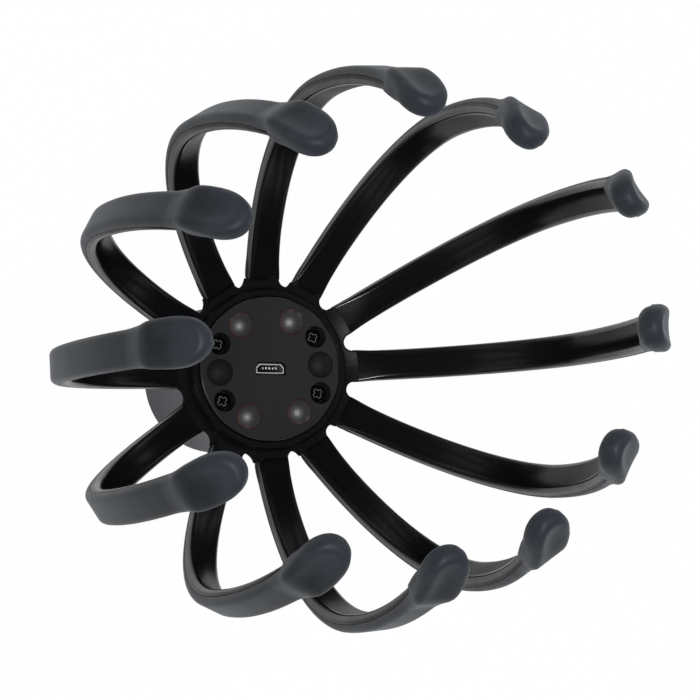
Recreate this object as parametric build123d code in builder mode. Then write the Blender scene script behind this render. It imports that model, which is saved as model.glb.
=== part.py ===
from build123d import *
import math
import os

# Electric scalp massager: a short grip that stands on its own end, a hub with warm
# lamps and a charging port, and a ring of twelve curved claws with soft paddle tips.
# Millimetres, +Z up. The origin is the middle of the flat end that it stands on,
# and the claws reach up and round, as the fingers of an open hand.

# --- hub ----------------------------------------------------------------------------
HUB_Z = 56.0            # height of the hub's face above the standing end
COVER_R = 19.0          # radius of the round hub cover
COVER_THICK = 2.0
COVER_WALL = 1.1        # skirt under the cover's rim
COVER_FIT = 0.25        # gap round the cover
COVER_EDGE = 0.35       # small round on the cover's rim

# --- claw ring ----------------------------------------------------------------------
LIP_WALL = 1.5          # thin raised lip round the cover
LIP_DROP = 0.5          # lip lies this far below the hub's face
LIP_SLOPE = 0.9         # how far the lip's outer slope runs out
FRAME_DEPTH = 10.0      # hub face to the underside of the frame
FRAME_FLOOR = 2.6
OPENING_IN = 2.1        # opening in the floor, inside the ring of screws
GAP_R = 2.3             # rounded end of the gap between two claws
GAP_TO_LIP = 0.85       # from the gaps to the foot of the lip's slope
GAP_TO_FOOT = 0.5       # and to the edge of the underside
GAP_EDGE = 0.45         # round on the rim of each gap
LIP_EDGE = 0.4

# --- claws --------------------------------------------------------------------------
CLAW_COUNT = 12
CLAW_WIDTH = 8.0
ROOT_REACH = 20.0       # radius at which the claw's centre line starts
ROOT_DROP = 6.0         # and how far below the hub's face
ROOT_RISE = 19.7        # slope of the root, degrees
ROOT_RUN = 3.8          # straight run before the bends
FOOT_BEND, FOOT_TURN = 59.3, 36.4
BELLY_BEND, BELLY_TURN = 63.2, 35.2
SHANK_BEND, SHANK_TURN = 145.0, 20.4
NECK_BEND, NECK_TURN = 26.0, 10.0
ROOT_THICK = 5.6
FOOT_THICK = 5.0
BELLY_THICK = 4.3
SHANK_THICK = 4.2
NECK_THICK = 4.2
CORE_ROUND = 1.1        # round on the glossy inner edges
SKIN_THICK = 2.0        # soft skin on the outer side
SKIN_ROUND = 1.5
# Soft claws take a set in use: degrees that each leans out, turns and tilts sideways.
CLAW_SET = [
    (1.0, -1.0, -0.25), (3.0, 0.3, -0.2), (-0.5, 0.8, -0.15), (-0.35, 1.25, 0.75),
    (-1.3, 0, 0), (-0.55, 0, 0), (0.75, 0, 0), (1.3, 0, 0),
    (0.25, 0.9, 0.2), (-1.15, 1.5, 0.35), (-1.2, 0.7, 0.6), (-0.8, -1.1, 0.8),
]

# --- paddle tips --------------------------------------------------------------------
PAD_WIDTH = 10.8
PAD_BULGE = 4.9         # how far the round inner side stands out from the paddle's axis
PAD_BACK = 1.9          # and how far the flat outer side does
PAD_NOSE = 8.6          # length from the widest place to the end
PAD_NECK = 13.0         # and back to the neck
PAD_AHEAD = 0.2         # widest place lies this far beyond the end of the claw
PAD_OUT = 1.6           # paddle's axis from the claw's, to the outer side
PAD_NOD = 3.0           # the paddle turns on inward by this, degrees
PAD_ROUND = 1.3         # round on the outer rim
PAD_CORE_END = -2.8     # the core ends this far beyond the widest place
DISH_DEPTH = 0.9
DISH_LONG_BEND = 40.0
DISH_CROSS_BEND = 9.0
DISH_AHEAD = 2.4        # dish's middle lies this far beyond the widest place

# --- what the hub carries -----------------------------------------------------------
DOME_R = 3.45           # lamps and rubber studs
DOME_H = 2.0
DOME_FIT = 0.05
DOME_IN = 5.2           # ring of lamps and studs, inside the cover's rim
DOME_TURN = 2.2         # first stud's azimuth
DOME_FLANGE_R = 4.0
DOME_FLANGE_H = 0.8
LENS_POCKET_R = 2.4
LENS_POCKET_H = 1.3
WELL_IN = 3.9           # ring of four deep screw wells, inside the cover's rim
WELL_SPREAD = 29.5      # to either side of the studs
WELL_R = 2.9
WELL_WALL = 0.55
WELL_FLOOR = 1.6
SCREW_R = 1.0
SCREW_LENGTH = 9.8
SCREW_HEAD_R = 2.1
SCREW_HEAD_H = 1.4
SCREW_PLAY = 0.15
THREAD_FIT = 0.02
RECESS_LONG, RECESS_WIDE, RECESS_DEEP = 2.5, 0.6, 0.8

BOARD_IN = 1.5          # hub board inside the cover's skirt
BOARD_THICK = 1.2
BOARD_PLAY = 0.15
LED_R = 1.5
LED_H = 3.6
LED_FLANGE_R = 1.9
LED_FLANGE_H = 1.0
CHIP_L, CHIP_W, CHIP_H = 5.0, 4.0, 1.5
CHIP_AT_X, CHIP_AT_Y = 0.0, -7.0

PORT_TURN = -3.0
PORT_W, PORT_H = 7.5, 2.5
PORT_CHAMFER = 0.85
PORT_WALL = 0.25
PORT_RECESS = 0.6
PORT_SLOT_GAP = 0.45
TONGUE_W, TONGUE_H = 5.2, 0.7
TONGUE_RECESS = 0.5
PORT_BLOCK_H = 1.6

# --- grip ---------------------------------------------------------------------------
GRIP_END_IN = 1.0       # the grip's lower end, inside its top
GRIP_WAIST_IN = 1.5     # and its waist
GRIP_WALL = 2.6         # wall at the lower end
GRIP_TOP_PLATE = 2.4
GRIP_OPENING_R = 9.0
BOSS_R = 3.0
BOSS_DROP = 4.1
RIB_WIDE, RIB_DEEP = 2.0, 1.3
RIB_TURN = 20.0
CAP_THICK = 2.4
CAP_EDGE = 1.5
CAP_SEAM = 0.15
CAP_DISH_R = 13.0
CAP_DISH_DEPTH = 1.4
CAP_PLATE = 2.2
CAP_SPIGOT_H = 9.6
CAP_SPIGOT_WALL = 1.4
CAP_FIT = 0.15
BEAD_R = 0.3
BEAD_Z = 6.5

# --- power button and its switch ----------------------------------------------------
BUTTON_R = 7.0
BUTTON_FIT = 0.1
BUTTON_RECESS = 0.6     # button's face lies above the plane it stands on
BUTTON_ROUND = 0.7
BUTTON_GAP = 0.1
FLANGE_WIDE = 1.2
FLANGE_H = 1.0
POST_R = 1.6
BUTTON_TRAVEL = 0.5
SEAL_GAP = 0.3
SEAL_WIDE = 1.8
SEAL_H = 1.3
STEM_H = 1.45
PLUNGER_R = 1.7
PLUNGER_OUT = 0.5
PLUNGER_IN = 1.3
PLUNGER_FIT = 0.05
SWITCH_SIDE = 6.0
SWITCH_H = 3.1
SWITCH_BOARD_PLAY = 2.85
SWITCH_BOARD_THICK = 1.2
STAKE_IN = 2.0          # stakes inside the switch board's edge
STAKE_R = 1.6
STAKE_PIN_R = 0.8
STAKE_PIN_H = 0.5

# --- chassis, battery and motor -----------------------------------------------------
BASE_THICK = 1.6
BASE_FIT = 0.3
BATTERY_L, BATTERY_W, BATTERY_H = 8.0, 20.0, 24.0
BATTERY_ROUND = 1.5
BATTERY_BACK = 5.2      # flat back of the cell to the grip's wall
BATTERY_PLAY = 0.2
FOAM_THICK = 1.0
WALL_THICK = 1.5
WALL_H = 22.4
LIP_HIGH = 10.4
MOTOR_BACK = 1.5        # cradle to the grip's wall
MOTOR_R = 6.0
MOTOR_H = 15.0
MOTOR_GAP = 8.4         # chassis base to the motor's lower face
MOTOR_END_R = 5.6
MOTOR_END_H = 1.4
SLEEVE_WALL = 0.9
SLEEVE_IN = 2.0         # sleeve starts this far above the motor's lower face
SLEEVE_H = 12.0
CRADLE_WALL = 1.5
CRADLE_WEB_W = 6.0
LEG_W = 5.0
SHAFT_R = 0.75
SHAFT_FIT = 0.05
SHAFT_OUT = 6.8
SHAFT_IN = 7.8
WEIGHT_R = 5.2
WEIGHT_HUB_R = 1.8
WEIGHT_H = 5.6
LEAD_R = 0.55
LEAD_BEND = 2.2
BATTERY_LEAD_Y = 3.0
MOTOR_LEAD_Y = 2.0
SWITCH_LEAD_X = 1.2
BATTERY_LEAD_RUN = 4.2  # leads lean in this far on their way to the hub board
MOTOR_LEAD_RUN = 3.5
SWITCH_LEAD_IN = 1.6
SWITCH_LANDING = 6.2

# --- heights that follow ------------------------------------------------------------
FRAME_Z = HUB_Z - FRAME_DEPTH               # underside of the claw frame, top of the grip
ROOT_Z = HUB_Z - ROOT_DROP                  # centre line of the claws where it starts
FLOOR_Z = FRAME_Z + FRAME_FLOOR             # the hub board lies here
BOARD_TOP = FLOOR_Z + BOARD_THICK
PLATE_Z = HUB_Z - COVER_THICK               # underside of the cover's plate
WELL_Z = FLOOR_Z + WELL_FLOOR               # screw heads sit here
RING_IN_R = COVER_R + COVER_FIT
RING_LIP_R = RING_IN_R + LIP_WALL
SLOPE_R = RING_LIP_R + LIP_SLOPE
WEB_R = SLOPE_R + GAP_TO_LIP + GAP_R        # solid web between the claw roots
FRAME_FOOT_R = WEB_R - GAP_R - GAP_TO_FOOT  # underside radius, the same as the top of the grip
WELL_RING_R = COVER_R - WELL_IN
DOME_RING_R = COVER_R - DOME_IN
BOARD_R = COVER_R - COVER_WALL - BOARD_IN
FRAME_OPENING_R = WELL_RING_R - OPENING_IN
GRIP_END_R = FRAME_FOOT_R - GRIP_END_IN
GRIP_WAIST_R = FRAME_FOOT_R - GRIP_WAIST_IN
GRIP_INNER_R = GRIP_END_R - GRIP_WALL
SHELL_Z = CAP_THICK + CAP_SEAM              # lower edge of the grip shell
GRIP_PLATE_Z = FRAME_Z - GRIP_TOP_PLATE
CAP_PLATE_TOP = CAP_DISH_DEPTH + CAP_PLATE
SPIGOT_R = GRIP_INNER_R - CAP_FIT
SWITCH_BOARD_R = SPIGOT_R - CAP_SPIGOT_WALL - SWITCH_BOARD_PLAY
STAKE_RING_R = SWITCH_BOARD_R - STAKE_IN
SWITCH_LEAD_Y = SWITCH_BOARD_R - SWITCH_LEAD_IN
BASE_Z = CAP_THICK + CAP_SPIGOT_H           # underside of the chassis
BASE_TOP = BASE_Z + BASE_THICK
FLANGE_Z = CAP_PLATE_TOP + BUTTON_GAP
FLANGE_TOP = FLANGE_Z + FLANGE_H
POST_TOP = FLANGE_TOP + STEM_H
PLUNGER_Z = POST_TOP + BUTTON_GAP / 2
SWITCH_Z = PLUNGER_Z + PLUNGER_OUT
SWITCH_BOARD_Z = SWITCH_Z + SWITCH_H
MOTOR_Z = BASE_TOP + MOTOR_GAP
MOTOR_TOP = MOTOR_Z + MOTOR_H
CRADLE_Z = MOTOR_Z + SLEEVE_IN
SLEEVE_R = MOTOR_R + SLEEVE_WALL
CRADLE_R = SLEEVE_R + CRADLE_WALL
MOTOR_X = GRIP_INNER_R - MOTOR_BACK - CRADLE_R
BATTERY_X = BATTERY_BACK + BATTERY_L / 2 - GRIP_INNER_R
WALL_X = BATTERY_X + BATTERY_L / 2 + BATTERY_PLAY   # battery side of the chassis wall
BATTERY_Z = BASE_TOP + FOAM_THICK
BATTERY_TOP = BATTERY_Z + BATTERY_H

STUD_AZ = [DOME_TURN, DOME_TURN + 180]
LAMP_AZ = [DOME_TURN + a for a in (60, 120, 240, 300)]
WELL_AZ = [DOME_TURN + a + s * WELL_SPREAD for a in (0, 180) for s in (-1, 1)]


def ring_point(radius, azimuth):
    """Point on a circle about the object's axis."""
    a = math.radians(azimuth)
    return (radius * math.cos(a), radius * math.sin(a))


def ring_points(radius, azimuths):
    return [ring_point(radius, a) for a in azimuths]


# --- claw geometry ------------------------------------------------------------------
CLAW_STEP = 360.0 / CLAW_COUNT
CLAW_BENDS = [
    (FOOT_BEND, FOOT_TURN, FOOT_THICK),
    (BELLY_BEND, BELLY_TURN, BELLY_THICK),
    (SHANK_BEND, SHANK_TURN, SHANK_THICK),
    (NECK_BEND, NECK_TURN, NECK_THICK),
]


def claw_plane(number):
    """Plane through one claw: local x is the reach, local y is the height."""
    _, turn, tilt = CLAW_SET[number]
    toward, over = math.radians(CLAW_STEP * number + turn), math.radians(tilt)
    free = Plane(origin=(0, 0, 0), x_dir=(math.cos(toward), math.sin(toward), 0),
                 z_dir=(math.sin(toward) * math.cos(over), -math.cos(toward) * math.cos(over),
                        -math.sin(over)))
    root = Vector(*ring_point(WEB_R, CLAW_STEP * number), ROOT_Z)
    return Plane(origin=root - free.x_dir * WEB_R - free.y_dir * ROOT_Z,
                 x_dir=free.x_dir, z_dir=free.z_dir)


def claw_stations(number):
    """Centre line as (reach, height, slope, half thickness) where the bends meet."""
    lean, _, _ = CLAW_SET[number]
    slope = math.radians(ROOT_RISE - lean)
    reach, height = ROOT_REACH, ROOT_Z
    stations = [(reach, height, slope, ROOT_THICK / 2)]
    reach += ROOT_RUN * math.cos(slope)
    height += ROOT_RUN * math.sin(slope)
    stations.append((reach, height, slope, ROOT_THICK / 2))
    for bend, turn, thick in CLAW_BENDS:
        after = slope + math.radians(turn)
        reach += bend * (math.sin(after) - math.sin(slope))
        height += bend * (math.cos(slope) - math.cos(after))
        slope = after
        stations.append((reach, height, slope, thick / 2))
    return stations


def claw_edge(stations, side):
    """Points beside the centre line, where side gives the distance to the inner side."""
    points = []
    for reach, height, slope, half in stations:
        away = side(half)
        points.append((reach - away * math.sin(slope), height + away * math.cos(slope)))
    first, last = stations[0][2], stations[-1][2]
    tangents = [(math.cos(first), math.sin(first)), (math.cos(last), math.sin(last))]
    return points, tangents


def claw_profile(stations, upper, lower):
    """Closed outline between two edges of a claw, drawn in the open sketch's plane."""
    with BuildLine() as outline:
        top_points, top_ends = claw_edge(stations, upper)
        low_points, low_ends = claw_edge(stations, lower)
        top = Spline(*top_points, tangents=top_ends)
        low = Spline(*low_points, tangents=low_ends)
        Line(top @ 0, low @ 0)
        Line(top @ 1, low @ 1)
    make_face(outline.edges())


def inner_side(half):
    return half


def parting_side(half):
    return SKIN_THICK - half


def outer_side(half):
    return -half


def long_edges(part, number, stations, side):
    """The two long edges of a claw on one of its sides."""
    plane = claw_plane(number)
    points, _ = claw_edge(stations, side)
    found = []
    for offset in (-CLAW_WIDTH / 2, CLAW_WIDTH / 2):
        middle = plane.from_local_coords((points[3][0], points[3][1], offset))
        found.append(part.edges().sort_by_distance(middle)[0])
    return found


def pad_plane(number):
    """Plane of one paddle: origin at its widest place, x along it, y to the inner side."""
    upright = claw_plane(number)
    reach, height, slope, _ = claw_stations(number)[-1]
    along = slope + math.radians(PAD_NOD)
    x_dir = upright.x_dir * math.cos(along) + upright.y_dir * math.sin(along)
    inward = upright.y_dir * math.cos(along) - upright.x_dir * math.sin(along)
    end = upright.from_local_coords((reach, height, 0))
    return Plane(origin=end + x_dir * PAD_AHEAD - inward * PAD_OUT, x_dir=x_dir,
                 z_dir=upright.z_dir)


def claw_core(number):
    """Hard glossy half of a claw, from the web of the ring to inside the paddle."""
    stations = claw_stations(number)
    pad = pad_plane(number)
    with BuildPart() as core:
        with BuildSketch(claw_plane(number)):
            claw_profile(stations, inner_side, parting_side)
        extrude(amount=CLAW_WIDTH / 2, both=True)
        fillet(long_edges(core, number, stations, inner_side), radius=CORE_ROUND)
        split(bisect_by=Plane(origin=pad.origin + pad.x_dir * PAD_CORE_END, z_dir=-pad.x_dir),
              keep=Keep.TOP)
        with BuildSketch(Plane.XY.offset(FRAME_Z)):
            Circle(WEB_R)
        extrude(amount=FRAME_DEPTH, mode=Mode.SUBTRACT)
    return core.part


# Soft spoon at the end of a claw, in its own frame: x along it, y to the inner side.
# It is round towards the scalp, and flat with a shallow dish at the back.
with BuildPart() as paddle:
    with BuildSketch(Plane.XY):
        with BuildLine():
            nose = EllipticalCenterArc((0, 0), PAD_NOSE, PAD_WIDTH / 2, 0, arc_size=90)
            flank = EllipticalCenterArc((0, 0), PAD_NECK, PAD_WIDTH / 2, 90, arc_size=90)
            Line(flank @ 1, nose @ 0)
        make_face()
    revolve(axis=Axis.X)
    scale(by=(1, PAD_BULGE / (PAD_WIDTH / 2), 1), about=(0, 0, 0))
    split(bisect_by=Plane(origin=(0, -PAD_BACK, 0), z_dir=(0, 1, 0)), keep=Keep.TOP)
    fillet(paddle.faces().sort_by(Axis.Y)[0].edges(), radius=PAD_ROUND)
    dish_floor = DISH_DEPTH - PAD_BACK
    dish_end = dish_floor - 2 * DISH_DEPTH
    dish_half = math.sqrt(DISH_LONG_BEND ** 2 - (DISH_LONG_BEND - 2 * DISH_DEPTH) ** 2)
    with BuildSketch(Plane.XY):
        with BuildLine():
            hollow = ThreePointArc((DISH_AHEAD - dish_half, dish_end),
                                   (DISH_AHEAD, dish_floor),
                                   (DISH_AHEAD + dish_half, dish_end))
            Polyline(hollow @ 1, (DISH_AHEAD + dish_half, dish_floor - DISH_CROSS_BEND),
                     (DISH_AHEAD - dish_half, dish_floor - DISH_CROSS_BEND), hollow @ 0)
        make_face()
    revolve(axis=Axis((0, dish_floor - DISH_CROSS_BEND, 0), (1, 0, 0)),
            mode=Mode.SUBTRACT)


def claw_skin(number):
    """Soft outer half of a claw in one piece with its paddle."""
    stations = claw_stations(number)
    core = claw_core(number)
    with BuildPart() as skin:
        with BuildSketch(claw_plane(number)):
            claw_profile(stations, parting_side, outer_side)
        extrude(amount=CLAW_WIDTH / 2, both=True)
        fillet(long_edges(skin, number, stations, outer_side), radius=SKIN_ROUND)
        with BuildSketch(Plane.XY.offset(FRAME_Z)):
            Circle(WEB_R)
        extrude(amount=FRAME_DEPTH, mode=Mode.SUBTRACT)
        with Locations(pad_plane(number)):
            add(paddle.part)
        add(core, mode=Mode.SUBTRACT)
    return skin.part


# --- claw ring: lip, floor and the web that the claws spring from -------------------
WEB_TOP_IN = ROOT_Z + ROOT_THICK / 2 / math.cos(math.radians(ROOT_RISE))
WEB_RISE = math.tan(math.radians(ROOT_RISE))
WEB_LOW = ROOT_Z - ROOT_THICK / 2 / math.cos(math.radians(ROOT_RISE))

with BuildPart() as claw_ring:
    with BuildSketch(Plane.XZ):
        with BuildLine():
            Polyline(
                (FRAME_OPENING_R, FRAME_Z), (FRAME_FOOT_R, FRAME_Z),
                (WEB_R, WEB_LOW + (WEB_R - ROOT_REACH) * WEB_RISE),
                (WEB_R, WEB_TOP_IN + (WEB_R - ROOT_REACH) * WEB_RISE),
                (SLOPE_R, WEB_TOP_IN + (SLOPE_R - ROOT_REACH) * WEB_RISE),
                (RING_LIP_R, HUB_Z - LIP_DROP), (RING_IN_R, HUB_Z - LIP_DROP),
                (RING_IN_R, FLOOR_Z), (FRAME_OPENING_R, FLOOR_Z), close=True)
        make_face()
    revolve(axis=Axis.Z)
    gap_az = [CLAW_STEP * (k + 0.5) for k in range(CLAW_COUNT)]
    with BuildSketch(Plane.XY.offset(FRAME_Z)):
        with Locations(*ring_points(WEB_R, gap_az)):
            Circle(GAP_R)
    extrude(amount=FRAME_DEPTH, mode=Mode.SUBTRACT)
    gap_rims = []
    for x, y in ring_points(WEB_R - GAP_R, gap_az):
        middle = (x, y, ROOT_Z)
        wall = claw_ring.faces().sort_by_distance(middle)[0]
        gap_rims += [edge for edge in wall.edges() if edge.geom_type != GeomType.LINE]
    fillet(gap_rims, radius=GAP_EDGE)
    rims = claw_ring.edges().filter_by(GeomType.CIRCLE).group_by(Axis.Z)[-1]
    fillet(rims, radius=LIP_EDGE)
    with Locations(*[(x, y, FLOOR_Z) for x, y in ring_points(WELL_RING_R, WELL_AZ)]):
        Hole(SCREW_R + SCREW_PLAY, depth=FRAME_FLOOR)
claw_ring.part.label = "claw_ring"

# --- hub cover ----------------------------------------------------------------------
PORT_PLANE = Plane(origin=(0, 0, HUB_Z),
                   x_dir=(*ring_point(1, PORT_TURN), 0), z_dir=(0, 0, 1))


def port_outline(grow):
    """Charging port's outline, chamfered on one long side, in the open sketch."""
    wide, high = PORT_W / 2 + grow, PORT_H / 2 + grow
    with BuildLine() as outline:
        Polyline((-wide, -high), (wide, -high), (wide, high - PORT_CHAMFER),
                 (wide - PORT_CHAMFER, high), (PORT_CHAMFER - wide, high),
                 (-wide, high - PORT_CHAMFER), close=True)
    make_face(outline.edges())


with BuildPart() as hub_cover:
    with BuildSketch(Plane.XY.offset(PLATE_Z)):
        Circle(COVER_R)
    extrude(amount=COVER_THICK)
    fillet(hub_cover.faces().sort_by(Axis.Z)[-1].edges(), radius=COVER_EDGE)
    with BuildSketch(Plane.XY.offset(FLOOR_Z)):
        Circle(COVER_R)
        Circle(COVER_R - COVER_WALL, mode=Mode.SUBTRACT)
    extrude(amount=PLATE_Z - FLOOR_Z)
    with BuildSketch(Plane.XY.offset(FLOOR_Z)):
        with Locations(*ring_points(WELL_RING_R, WELL_AZ)):
            Circle(WELL_R + WELL_WALL)
    extrude(amount=PLATE_Z - FLOOR_Z)
    with BuildSketch(Plane.XY.offset(WELL_Z)):
        with Locations(*ring_points(WELL_RING_R, WELL_AZ)):
            Circle(WELL_R)
    extrude(amount=HUB_Z - WELL_Z, mode=Mode.SUBTRACT)
    with Locations(*[(x, y, WELL_Z) for x, y in ring_points(WELL_RING_R, WELL_AZ)]):
        Hole(SCREW_R + SCREW_PLAY, depth=WELL_FLOOR)
    with Locations(*[(x, y, HUB_Z) for x, y in ring_points(DOME_RING_R, STUD_AZ + LAMP_AZ)]):
        Hole(DOME_R + DOME_FIT, depth=COVER_THICK)
    with BuildSketch(PORT_PLANE.offset(-COVER_THICK)):
        port_outline(PORT_SLOT_GAP)
    extrude(amount=COVER_THICK, mode=Mode.SUBTRACT)
hub_cover.part.label = "hub_cover"


def dome(azimuth, pocket):
    """Round-topped plug in the cover: a lamp lens with a pocket, or a solid stud."""
    x, y = ring_point(DOME_RING_R, azimuth)
    plane = Plane(origin=(x, y, HUB_Z), x_dir=(1, 0, 0), z_dir=(0, -1, 0))
    low = -COVER_THICK - DOME_FLANGE_H
    with BuildPart() as plug:
        with BuildSketch(plane):
            with BuildLine():
                bend = (DOME_R ** 2 + DOME_H ** 2) / (2 * DOME_H)
                cap = RadiusArc((0, DOME_H), (DOME_R, 0), bend)
                Polyline(cap @ 1, (DOME_R, -COVER_THICK), (DOME_FLANGE_R, -COVER_THICK),
                         (DOME_FLANGE_R, low), (0, low), cap @ 0)
            make_face()
        revolve(axis=Axis((x, y, 0), (0, 0, 1)))
        if pocket:
            with BuildSketch(Plane.XY.offset(HUB_Z + low)):
                with Locations((x, y)):
                    Circle(LENS_POCKET_R)
            extrude(amount=LENS_POCKET_H, mode=Mode.SUBTRACT)
    return plug.part


# Pan-head screws with a cross recess, down through cover and ring to the grip.
with BuildPart() as cover_screws:
    with BuildSketch(Plane.XY.offset(WELL_Z)):
        with Locations(*ring_points(WELL_RING_R, WELL_AZ)):
            Circle(SCREW_HEAD_R)
    extrude(amount=SCREW_HEAD_H)
    fillet(cover_screws.edges().group_by(Axis.Z)[-1], radius=SCREW_HEAD_H / 3)
    with BuildSketch(Plane.XY.offset(WELL_Z)):
        with Locations(*ring_points(WELL_RING_R, WELL_AZ)):
            Circle(SCREW_R)
    extrude(amount=-SCREW_LENGTH)
    with BuildSketch(Plane.XY.offset(WELL_Z + SCREW_HEAD_H)):
        with Locations(*ring_points(WELL_RING_R, WELL_AZ)):
            Rectangle(RECESS_LONG, RECESS_WIDE)
            Rectangle(RECESS_WIDE, RECESS_LONG)
    extrude(amount=-RECESS_DEEP, mode=Mode.SUBTRACT)
cover_screws.part.label = "cover_screws"

# Round-headed lamps on the hub board, one under each lens.
with BuildPart() as lamp_leds:
    with BuildSketch(Plane.XY.offset(BOARD_TOP)):
        with Locations(*ring_points(DOME_RING_R, LAMP_AZ)):
            Circle(LED_FLANGE_R)
    extrude(amount=LED_FLANGE_H)
    with BuildSketch(Plane.XY.offset(BOARD_TOP)):
        with Locations(*ring_points(DOME_RING_R, LAMP_AZ)):
            Circle(LED_R)
    extrude(amount=LED_H)
    fillet(lamp_leds.edges().group_by(Axis.Z)[-1], radius=LED_R * 0.8)
lamp_leds.part.label = "lamp_leds"

# --- hub board, chip and charging port ----------------------------------------------
with BuildPart() as hub_board:
    with BuildSketch(Plane.XY.offset(FLOOR_Z)):
        Circle(BOARD_R)
        with Locations(*ring_points(WELL_RING_R, WELL_AZ)):
            Circle(WELL_R + WELL_WALL + BOARD_PLAY, mode=Mode.SUBTRACT)
    extrude(amount=BOARD_THICK)
hub_board.part.label = "hub_board"

with BuildPart() as charger_chip:
    with BuildSketch(Plane.XY.offset(BOARD_TOP)):
        with Locations((CHIP_AT_X, CHIP_AT_Y)):
            Rectangle(CHIP_L, CHIP_W)
    extrude(amount=CHIP_H)
charger_chip.part.label = "charger_chip"

PORT_TOP = HUB_Z - PORT_RECESS
with BuildPart() as port_shell:
    with BuildSketch(PORT_PLANE.offset(BOARD_TOP - HUB_Z)):
        port_outline(0)
    extrude(amount=PORT_TOP - BOARD_TOP)
    with BuildSketch(PORT_PLANE.offset(BOARD_TOP - HUB_Z)):
        port_outline(-PORT_WALL)
    extrude(amount=PORT_TOP - BOARD_TOP, mode=Mode.SUBTRACT)
port_shell.part.label = "port_shell"

with BuildPart() as port_tongue:
    with BuildSketch(PORT_PLANE.offset(BOARD_TOP - HUB_Z)):
        port_outline(-PORT_WALL)
    extrude(amount=PORT_BLOCK_H)
    with BuildSketch(PORT_PLANE.offset(BOARD_TOP - HUB_Z)):
        Rectangle(TONGUE_W, TONGUE_H)
    extrude(amount=PORT_TOP - TONGUE_RECESS - BOARD_TOP)
port_tongue.part.label = "port_tongue"

# --- grip shell and end cap ---------------------------------------------------------
with BuildPart() as grip_shell:
    with BuildSketch(Plane.XZ):
        with BuildLine():
            side = ThreePointArc((GRIP_END_R, SHELL_Z),
                                 (GRIP_WAIST_R, (SHELL_Z + FRAME_Z) / 2),
                                 (FRAME_FOOT_R, FRAME_Z))
            Polyline(side @ 1, (GRIP_OPENING_R, FRAME_Z), (GRIP_OPENING_R, GRIP_PLATE_Z),
                     (GRIP_INNER_R, GRIP_PLATE_Z), (GRIP_INNER_R, BEAD_Z + 2 * BEAD_R),
                     (GRIP_INNER_R + BEAD_R, BEAD_Z + BEAD_R),
                     (GRIP_INNER_R + BEAD_R, BEAD_Z - BEAD_R),
                     (GRIP_INNER_R, BEAD_Z - 2 * BEAD_R), (GRIP_INNER_R, SHELL_Z), side @ 0)
        make_face()
    revolve(axis=Axis.Z)
    with BuildSketch(Plane.XY.offset(GRIP_PLATE_Z)):
        with Locations(*ring_points(WELL_RING_R, WELL_AZ)):
            Circle(BOSS_R)
    extrude(amount=-BOSS_DROP)
    with BuildSketch(Plane.XY.offset(BASE_TOP)):
        with PolarLocations(GRIP_INNER_R - RIB_DEEP / 2 + THREAD_FIT, 4, start_angle=RIB_TURN):
            Rectangle(RIB_DEEP + 4 * THREAD_FIT, RIB_WIDE)
    extrude(amount=GRIP_PLATE_Z - BASE_TOP)
    with Locations(*[(x, y, FRAME_Z) for x, y in ring_points(WELL_RING_R, WELL_AZ)]):
        Hole(SCREW_R + THREAD_FIT, depth=GRIP_TOP_PLATE + BOSS_DROP)
grip_shell.part.label = "grip_shell"

with BuildPart() as end_cap:
    with BuildSketch(Plane.XZ):
        with BuildLine():
            Polyline(
                (BUTTON_R + BUTTON_FIT, CAP_DISH_DEPTH), (CAP_DISH_R, CAP_DISH_DEPTH),
                (CAP_DISH_R + CAP_DISH_DEPTH, 0), (GRIP_END_R, 0), (GRIP_END_R, CAP_THICK),
                (SPIGOT_R, CAP_THICK), (SPIGOT_R, BEAD_Z - BEAD_R),
                (SPIGOT_R + BEAD_R, BEAD_Z), (SPIGOT_R, BEAD_Z + BEAD_R),
                (SPIGOT_R, BASE_Z), (SPIGOT_R - CAP_SPIGOT_WALL, BASE_Z),
                (SPIGOT_R - CAP_SPIGOT_WALL, CAP_PLATE_TOP),
                (BUTTON_R + BUTTON_FIT, CAP_PLATE_TOP), close=True)
        make_face()
    revolve(axis=Axis.Z)
    rim = end_cap.edges().filter_by(GeomType.CIRCLE).filter_by_position(Axis.Z, 0, 0)
    fillet(rim.sort_by(SortBy.RADIUS)[-1], radius=CAP_EDGE)
    with BuildSketch(Plane.XY.offset(CAP_PLATE_TOP)):
        with PolarLocations(STAKE_RING_R, 3):
            Circle(STAKE_R)
    extrude(amount=SWITCH_BOARD_Z - CAP_PLATE_TOP)
    with BuildSketch(Plane.XY.offset(SWITCH_BOARD_Z)):
        with PolarLocations(STAKE_RING_R, 3):
            Circle(STAKE_PIN_R)
    extrude(amount=SWITCH_BOARD_THICK + STAKE_PIN_H)
end_cap.part.label = "end_cap"

# --- power button, seal, switch -----------------------------------------------------
with BuildPart() as power_button:
    with BuildSketch(Plane.XY.offset(BUTTON_RECESS)):
        Circle(BUTTON_R)
    extrude(amount=FLANGE_TOP - BUTTON_RECESS)
    fillet(power_button.faces().sort_by(Axis.Z)[0].edges(), radius=BUTTON_ROUND)
    with BuildSketch(Plane.XY.offset(FLANGE_Z)):
        Circle(BUTTON_R + FLANGE_WIDE)
    extrude(amount=FLANGE_H)
    with BuildSketch(Plane.XY.offset(FLANGE_TOP)):
        Circle(POST_R)
    extrude(amount=STEM_H)
power_button.part.label = "power_button"

with BuildPart() as button_seal:
    with BuildSketch(Plane.XY.offset(CAP_PLATE_TOP)):
        Circle(BUTTON_R + FLANGE_WIDE + SEAL_GAP + SEAL_WIDE)
        Circle(BUTTON_R + FLANGE_WIDE + SEAL_GAP, mode=Mode.SUBTRACT)
    extrude(amount=SEAL_H)
button_seal.part.label = "button_seal"

with BuildPart() as switch_plunger:
    with BuildSketch(Plane.XY.offset(PLUNGER_Z)):
        Circle(PLUNGER_R)
    extrude(amount=PLUNGER_OUT + PLUNGER_IN)
switch_plunger.part.label = "switch_plunger"

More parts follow.
